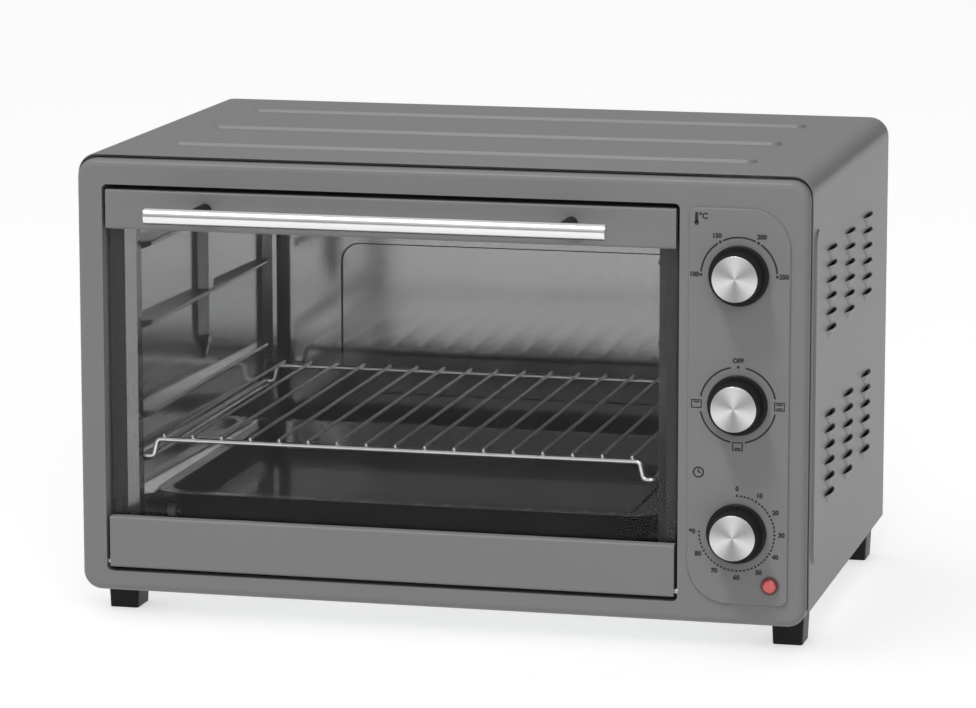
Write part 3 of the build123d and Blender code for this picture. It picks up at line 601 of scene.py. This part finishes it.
def heaterSymbols():
    # an oven outline with a bar for each heater that is on: both, lower, upper
    art, sizes = LineArt("heaterSymbols"), dialSizes
    centre = knobCentre("function")
    halfWide, halfHigh = sizes["symbolWidth"] / 2, sizes["symbolHeight"] / 2
    inset = sizes["symbolInset"]
    for turn, bars in {90: (1, -1), 180: (-1,), 270: (1,)}.items():
        x, y = clockPoint(centre, sizes["symbolRadius"], math.radians(turn))
        corners = [(-1, -1), (1, -1), (1, 1), (-1, 1)]
        art.line([(x + i * halfWide, y + j * halfHigh) for i, j in corners], closed=True)
        for side in bars:
            level = y + side * (halfHigh - inset)
            art.line([(x - halfWide + inset, level), (x + halfWide - inset, level)])
    return art.build(sizes["fineWidth"])


def timerArt():
    art, sizes = LineArt("timerDialPrint"), dialSizes
    centre = knobCentre("timer")
    tenMinutes = math.radians(30)
    dash = tenMinutes / sizes["dashes"]
    inner = sizes["radius"] - sizes["tickLength"] / 2
    last = 9    # ninety minutes
    for ten in range(last + 1):
        turn = ten * tenMinutes
        tick = [clockPoint(centre, inner + end * sizes["tickLength"], turn) for end in (0, 1)]
        art.line(tick)
        art.word(str(ten * 10), clockPoint(centre, sizes["labelRadius"], turn), sizes["numberHeight"])
        for part in range(1, sizes["dashes"]) if ten < last else ():
            start = turn + part * dash - dash * sizes["dashShare"] / 2
            art.arc(centre, sizes["radius"], start, start + dash * sizes["dashShare"])
    return art.build(sizes["lineWidth"])


iconSizes = {
    "thermometer": (-31.3 * mm, 40.8 * mm),   # from the temperature knob's centre
    "tubeHeight": 6.6 * mm,
    "tubeHalf": 0.6 * mm,
    "bulb": 1.1 * mm,
    "degree": (-26.4 * mm, 42.3 * mm),
    "degreeHeight": 4.4 * mm,
    "clock": (-28.5 * mm, 44.0 * mm),         # from the timer knob's centre
    "clockRadius": 3.6 * mm,
    "hands": (2.4 * mm, 1.7 * mm),
    "handTurns": (0, math.radians(100)),
}


def panelIcons():
    art, sizes = LineArt("panelIcons"), iconSizes
    knob = knobCentre("temperature")
    x, y = knob + Vector(sizes["thermometer"])
    half, rise = sizes["tubeHalf"], sizes["tubeHeight"] / 2
    art.arc((x, y - rise), sizes["bulb"], 0, math.tau)
    art.line([(x - half, y - rise), (x - half, y + rise)])
    art.line([(x + half, y - rise), (x + half, y + rise)])
    art.arc((x, y + rise), half, -math.pi / 2, math.pi / 2)
    art.word("°C", knob + Vector(sizes["degree"]), sizes["degreeHeight"])
    middle = knobCentre("timer") + Vector(sizes["clock"])
    art.arc(middle, sizes["clockRadius"], 0, math.tau)
    for hand, turn in zip(sizes["hands"], sizes["handTurns"]):
        art.line([tuple(middle), clockPoint(middle, hand, turn)])
    return art.build(dialSizes["fineWidth"])


for makeArt in (temperatureArt, functionArt, heaterSymbols, timerArt, panelIcons):
    print("printed:", makeArt().name)


def solidBoxes(node):
    # low and high corners of each separate solid in a node, left to right
    whole = bmesh.new()
    whole.from_mesh(frame["nodes"][node].data)
    bmesh.ops.remove_doubles(whole, verts=whole.verts, dist=0.001 * mm)
    waiting = set(whole.verts)
    boxes = []
    while waiting:
        found = {waiting.pop()}
        edge = list(found)
        while edge:
            near = {link.other_vert(vert) for vert in edge for link in vert.link_edges} & waiting
            waiting -= near
            found |= near
            edge = list(near)
        places = [vert.co for vert in found]
        boxes.append([Vector([pick(place[i] for place in places) for i in range(3)]) for pick in (min, max)])
    whole.free()
    return sorted(boxes, key=lambda box: (round(box[0].x, 5), box[0].z))


def screwShape():
    # pan head with a cross recess on a plain shank, turned at random about its own axis
    shape = Shape("crossHeadScrew", {
        "Head Radius": "Float", "Head Height": "Float", "Shank Radius": "Float", "Shank Length": "Float",
        "Recess Length": "Float", "Recess Width": "Float", "Recess Depth": "Float", "Seed": "Int"})
    given = shape.given
    radius, height = given.also("Head Radius"), given.also("Head Height")
    ball = shape.node("GeometryNodeMeshUVSphere", {}, {"Segments": 28, "Rings": 14, "Radius": radius})
    squash = shape.node("ShaderNodeCombineXYZ", {}, {"X": 1.0, "Y": 1.0, "Z": height / radius})
    ball = shape.node("GeometryNodeTransform", {}, {"Geometry": ball, "Scale": squash})
    room = shape.node("GeometryNodeMeshCube", {}, {
        "Size": shape.node("ShaderNodeCombineXYZ", {}, {"X": radius * 3, "Y": radius * 3, "Z": height * 2})})
    room = shape.node("GeometryNodeTransform", {}, {
        "Geometry": room, "Translation": shape.node("ShaderNodeCombineXYZ", {}, {"Z": height})})
    head = shape.node("GeometryNodeMeshBoolean", {"operation": "INTERSECT"}, {1: ball})
    shape.tree.links.new(room.socket, head.socket.node.inputs[1])
    length = given.also("Shank Length")
    shank = shape.node("GeometryNodeMeshCylinder", {}, {
        "Vertices": 16, "Radius": given.also("Shank Radius"), "Depth": length})
    # the shank reaches a little into the head
    sink = shape.node("ShaderNodeCombineXYZ", {}, {"Z": height * 0.2 - length * 0.5})
    shank = shape.node("GeometryNodeTransform", {}, {"Geometry": shank, "Translation": sink})
    screw = shape.node("GeometryNodeMeshBoolean", {"operation": "UNION"}, {1: head})
    shape.tree.links.new(shank.socket, screw.socket.node.inputs[1])
    wide, deep = given.also("Recess Width"), given.also("Recess Depth")
    lift = shape.node("ShaderNodeCombineXYZ", {}, {"Z": height})
    for size in ((given.also("Recess Length"), wide), (wide, given.also("Recess Length"))):
        slot = shape.node("GeometryNodeMeshCube", {}, {
            "Size": shape.node("ShaderNodeCombineXYZ", {}, {"X": size[0], "Y": size[1], "Z": deep * 2})})
        slot = shape.node("GeometryNodeTransform", {}, {"Geometry": slot, "Translation": lift})
        screw = shape.node("GeometryNodeMeshBoolean", {"operation": "DIFFERENCE"}, {0: screw, 1: slot})
    turn = shape.node("FunctionNodeRandomValue", {"data_type": "FLOAT"}, {
        "Max": math.tau, "Seed": given.also("Seed")}, 1)
    spin = shape.node("FunctionNodeRotateEuler", {"rotation_type": "EULER", "space": "LOCAL"}, {
        0: (-math.pi / 2, 0, 0), 1: shape.node("ShaderNodeCombineXYZ", {}, {"Z": turn})})
    screws = shape.node("GeometryNodeInstanceOnPoints", {}, {
        "Points": given, "Instance": screw, "Rotation": spin})
    return shape.end(screws)


screwSizes = {
    "Head Radius": 3.5 * mm,
    "Head Height": 2.2 * mm,
    "Shank Radius": 1.75 * mm,
    "Shank Length": 8.4 * mm,
    "Recess Length": 3.4 * mm,
    "Recess Width": 0.8 * mm,
    "Recess Depth": 1.2 * mm,
    "Seed": 7,
}


def coverScrews():
    seats = []
    for low, high in solidBoxes("back_cover_screws"):
        middle = (low + high) / 2
        seats.append((middle.x, high.y - screwSizes["Head Height"], middle.z))
    screws = grow("coverScrews", looseMesh(seats), screwShape(), {
        **screwSizes, "Finish": finishes["plated_steel"]})
    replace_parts(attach(screws, "cabinet"), "back_cover_screws")
    return screws


def nuggetShape():
    # small squashed beads where wires were spot welded
    shape = Shape("weldNugget", {
        "Size": "Float", "Flatness": "Float", "Smallest": "Float", "Largest": "Float", "Seed": "Int"})
    given = shape.given
    bead = shape.node("GeometryNodeMeshIcoSphere", {}, {
        "Radius": given.also("Size") * 0.5, "Subdivisions": 3})
    flat = shape.node("ShaderNodeCombineXYZ", {}, {"X": 1.0, "Y": 1.0, "Z": given.also("Flatness")})
    bead = shape.node("GeometryNodeTransform", {}, {"Geometry": bead, "Scale": flat})
    vary = shape.node("FunctionNodeRandomValue", {"data_type": "FLOAT"}, {
        "Min": given.also("Smallest"), "Max": given.also("Largest"), "Seed": given.also("Seed")}, 1)
    beads = shape.node("GeometryNodeInstanceOnPoints", {}, {"Points": given, "Instance": bead, "Scale": vary})
    real = shape.node("GeometryNodeRealizeInstances", {}, {0: beads})
    return shape.end(shape.node("GeometryNodeSetShadeSmooth", {}, {0: real}))


nuggetSizes = {
    "Size": 3.4 * mm,
    "Flatness": 0.45,
    "Smallest": 0.85,      # shares of the size
    "Largest": 1.1,
    "Seed": 3,
}
weldInset = 0.75      # from the frame's edge, in wire thicknesses


def rackWelds():
    low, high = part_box("rack_frame")
    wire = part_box("rack_wires")[1].z - high.z
    rows = [low.y + wire * weldInset, high.y - wire * weldInset]
    crossings = [((a.x + b.x) / 2, y, high.z) for a, b in solidBoxes("rack_wires") for y in rows]
    welds = grow("rackWelds", looseMesh(crossings), nuggetShape(), {
        **nuggetSizes, "Finish": finishes["chrome"]})
    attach(welds, "rack")
    return welds


for makePiece in (coverScrews, rackWelds):
    piece = makePiece()
    print("repeated:", piece.name, len(piece.data.polygons), "faces")


stageSizes = {
    "floorHalf": 30.0,
    "floorShade": 0.93,
    "floorGlow": 0.5,
    "horizon": 0.20,                   # the dome's light, from its rim up to its top
    "zenith": 0.66,
    "rightShade": 0.25,                # what is left of it on the right
    "domeRise": 0.7,
    "keySpot": (-0.92, -1.33, 3.82),   # high in front, so that slopes which face up and forward shine
    "keyStrength": 1.8,
    "keyAngle": math.radians(11),
    "fillSpot": (1.2, -3.2, 2.0),
    "fillSize": 2.4,
    "fillPower": 40.0,
    "aim": (0.0, 0.0, 0.17),
}


def paleFloor():
    half = stageSizes["floorHalf"]
    mesh = bpy.data.meshes.new("paleFloor")
    corners = [(-half, -half, 0), (half, -half, 0), (half, half, 0), (-half, half, 0)]
    mesh.from_pydata(corners, [], [(0, 1, 2, 3)])
    floor = bpy.data.objects.new("paleFloor", mesh)
    bpy.context.scene.collection.objects.link(floor)
    finish = Finish("paleFloor")
    drift = finish.noise(0.6)
    shade = stageSizes["floorShade"]
    mesh.materials.append(finish.surface({
        "Base Color": finish.shades(drift, (shade,) * 3, (shade + 0.03,) * 3),
        "Roughness": 0.9,
        "Specular IOR Level": 0.1,
        "Emission Color": (1, 1, 1, 1),
        "Emission Strength": stageSizes["floorGlow"],
    }))
    return floor


def hangLight(name, lamp, spot):
    light = bpy.data.objects.new(name, lamp)
    bpy.context.scene.collection.objects.link(light)
    light.location = spot
    toward = Vector(stageSizes["aim"]) - Vector(spot)
    light.rotation_euler = toward.to_track_quat("-Z", "Y").to_euler()
    return light


def studio(floor):
    sizes = stageSizes
    world = bpy.data.worlds.new("studio")
    world.use_nodes = True
    sky = world.node_tree.nodes["Background"]
    sky.inputs["Color"].default_value = (1, 1, 1, 1)
    dome = Graph(world.node_tree)
    way = dome.node("ShaderNodeTexCoord", output="Generated")
    toRight = dome.node("ShaderNodeSeparateXYZ", {}, {0: way}, "X")
    glow = dome.node("ShaderNodeMapRange", {"interpolation_type": "SMOOTHSTEP"}, {
        "Value": toRight.also("Z"), "From Max": sizes["domeRise"],
        "To Min": sizes["horizon"], "To Max": sizes["zenith"]})
    shade = dome.node("ShaderNodeMapRange", {"interpolation_type": "SMOOTHSTEP"}, {
        "Value": toRight, "From Max": sizes["domeRise"], "To Min": 1.0, "To Max": sizes["rightShade"]})
    dome.tree.links.new((glow * shade).socket, sky.inputs["Strength"])
    bpy.context.scene.world = world
    bpy.context.scene.view_settings.view_transform = "Standard"
    key = bpy.data.lights.new("keyLight", "SUN")
    key.energy = sizes["keyStrength"]
    key.angle = sizes["keyAngle"]
    keyLight = hangLight("keyLight", key, sizes["keySpot"])
    spared = bpy.data.collections.new("sparedByKey")    # the floor stays even, with no hard shadow
    spared.objects.link(floor)
    spared.collection_objects[0].light_linking.link_state = "EXCLUDE"
    keyLight.light_linking.receiver_collection = spared
    fill = bpy.data.lights.new("fillLight", "AREA")
    fill.shape = "DISK"
    fill.size = sizes["fillSize"]
    fill.energy = sizes["fillPower"]
    hangLight("fillLight", fill, sizes["fillSpot"])


cameraSizes = {
    "spot": (0.80769, -3.33788, 0.78982),
    "tilt": math.radians(90 - 10.031),
    "turn": math.radians(13.674),
    "lens": 167.1,
    "sensor": 36.0,
}


def photoCamera():
    data = bpy.data.cameras.new("photoCamera")
    data.lens = cameraSizes["lens"]
    data.sensor_width = cameraSizes["sensor"]
    camera = bpy.data.objects.new("photoCamera", data)
    bpy.context.scene.collection.objects.link(camera)
    camera.location = cameraSizes["spot"]
    camera.rotation_euler = (cameraSizes["tilt"], 0, cameraSizes["turn"])
    bpy.context.scene.camera = camera


studio(paleFloor())
photoCamera()
print("stage, light and camera set")
